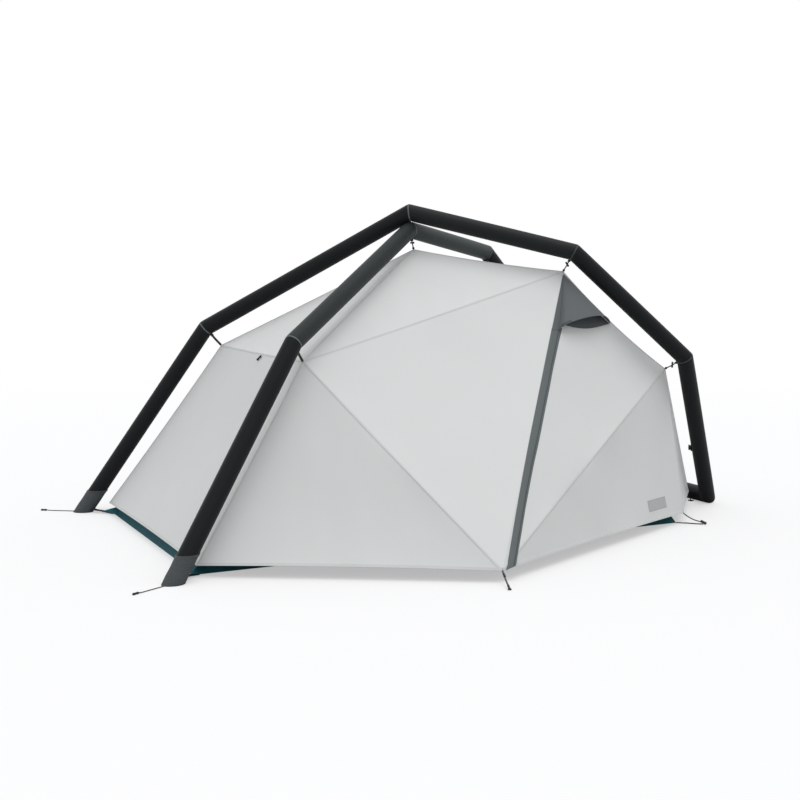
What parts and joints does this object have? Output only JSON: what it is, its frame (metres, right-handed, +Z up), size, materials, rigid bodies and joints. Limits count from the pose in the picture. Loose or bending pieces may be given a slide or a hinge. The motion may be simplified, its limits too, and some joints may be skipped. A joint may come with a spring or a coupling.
{
  "type": "inflatable tent",
  "caption": "Low geodesic tent: faceted cloth fly hung by hooks inside crossed air-filled tube arches, with porches, vent hoods and an inner tent on a tray floor.",
  "frame": {"origin": "on the ground under the middle of the tent's outline, without its peg cords", "axes": "+Z up, the long way of the tent along X with the taller end at -X, and its two porches at -Y (front) and +Y (back)"},
  "size_m": [3.0632, 2.813, 1.4432],
  "materials": {
    "tube_black": "dark woven sleeve with a low sheen",
    "tube_grey": "grey woven sleeve with a low sheen",
    "bladder_film": "clear smooth film",
    "boot_weave": "stiff matte weave",
    "fly_cloth": "coated cloth, matte",
    "trim_cloth": "coated cloth, matte",
    "floor_cloth": "coated cloth, slightly shiny",
    "inner_cloth": "thin soft cloth",
    "black_hardware": "moulded, satin",
    "cord": "braided, matte"
  },
  "bodies": {
    "tent": {"bladder_over": "bladder_film", "bladder_under": "bladder_film", "boot_back": "boot_weave", "boot_front": "boot_weave", "fly_corner_back": "fly_cloth", "fly_corner_front": "fly_cloth", "fly_end_left": "fly_cloth", "fly_end_right": "fly_cloth", "fly_porch_back_lower": "fly_cloth", "fly_porch_back_upper": "fly_cloth", "fly_porch_front_lower": "fly_cloth", "fly_porch_front_upper": "fly_cloth", "fly_roof_back": "fly_cloth", "fly_roof_front": "fly_cloth", "fly_roof_left": "fly_cloth", "fly_roof_middle": "fly_cloth", "fly_roof_right": "fly_cloth", "hook_brow_back": "black_hardware", "hook_brow_front": "black_hardware", "hook_crown": "black_hardware", "hook_knee_back": "black_hardware", "hook_knee_front": "black_hardware", "hook_shoulder_back": "black_hardware", "hook_shoulder_front": "black_hardware", "inner_end_left": "inner_cloth", "inner_end_right": "inner_cloth", "inner_floor": "floor_cloth", "inner_wall_back": "inner_cloth", "inner_wall_front": "inner_cloth", "sleeve_ground": "tube_black", "sleeve_leg_back_left": "tube_black", "sleeve_leg_front_left": "tube_black", "sleeve_rafter_back_left": "tube_black", "sleeve_rafter_front_left": "tube_grey", "sleeve_ridge_back_right": "tube_grey", "sleeve_ridge_front_right": "tube_black", "sleeve_shoulder_back_right": "tube_black", "sleeve_shoulder_front_right": "tube_black", "sleeve_tail_back_right": "tube_black", "sleeve_tail_front_right": "tube_black", "tether_foot_back": "cord", "tether_foot_front": "cord", "tether_porch_back": "cord", "tether_porch_front": "cord", "tether_side_back": "cord", "tether_side_front": "cord", "valve_body": "black_hardware"},
    "door_front": {"door_front_upper": "fly_cloth", "door_front_lower": "fly_cloth", "zip_cover_front": "trim_cloth", "vent_hood_front": "trim_cloth"},
    "zip_slider_front": {"zip_slider_front": "black_hardware"},
    "inner_door_front": {"inner_door_front": "inner_cloth"},
    "door_back": {"door_back_upper": "fly_cloth", "door_back_lower": "fly_cloth", "zip_cover_back": "trim_cloth", "vent_hood_back": "trim_cloth"},
    "zip_slider_back": {"zip_slider_back": "black_hardware"},
    "inner_door_back": {"inner_door_back": "inner_cloth"},
    "valve_cap": {"valve_cap": "black_hardware"}
  },
  "joints": [
    {"name": "door_front_swing", "type": "hinge", "parent": "tent", "child": "door_front", "pos_m": [1.0133, -0.6, 0.045], "axis": [-0.0424, 0.187, 0.9814], "range_deg": [0, 28]},
    {"name": "door_back_swing", "type": "hinge", "parent": "tent", "child": "door_back", "pos_m": [1.0133, 0.6, 0.045], "axis": [0.0424, 0.187, -0.9814], "range_deg": [0, 28]},
    {"name": "inner_door_front_fold", "type": "hinge", "parent": "tent", "child": "inner_door_front", "pos_m": [-0.20054, -0.57985, 0.10733], "axis": [-0.9989, -0.0463, 0], "range_deg": [0, 55]},
    {"name": "inner_door_back_fold", "type": "hinge", "parent": "tent", "child": "inner_door_back", "pos_m": [-0.20054, 0.57985, 0.10733], "axis": [0.9989, -0.0463, 0], "range_deg": [0, 55]},
    {"name": "valve_cap_flip", "type": "hinge", "parent": "tent", "child": "valve_cap", "pos_m": [1.23817, -0.32642, 0.30985], "axis": [0.5626, 0.5626, 0.6058], "range_deg": [0, 120]},
    {"name": "zip_front_run", "type": "slide", "parent": "tent", "child": "zip_slider_front", "axis": [0.4894, 0.5659, 0.6635], "range_m": [0, 1.5]},
    {"name": "zip_back_run", "type": "slide", "parent": "tent", "child": "zip_slider_back", "axis": [0.4894, -0.5659, 0.6635], "range_m": [0, 1.5]}
  ]
}
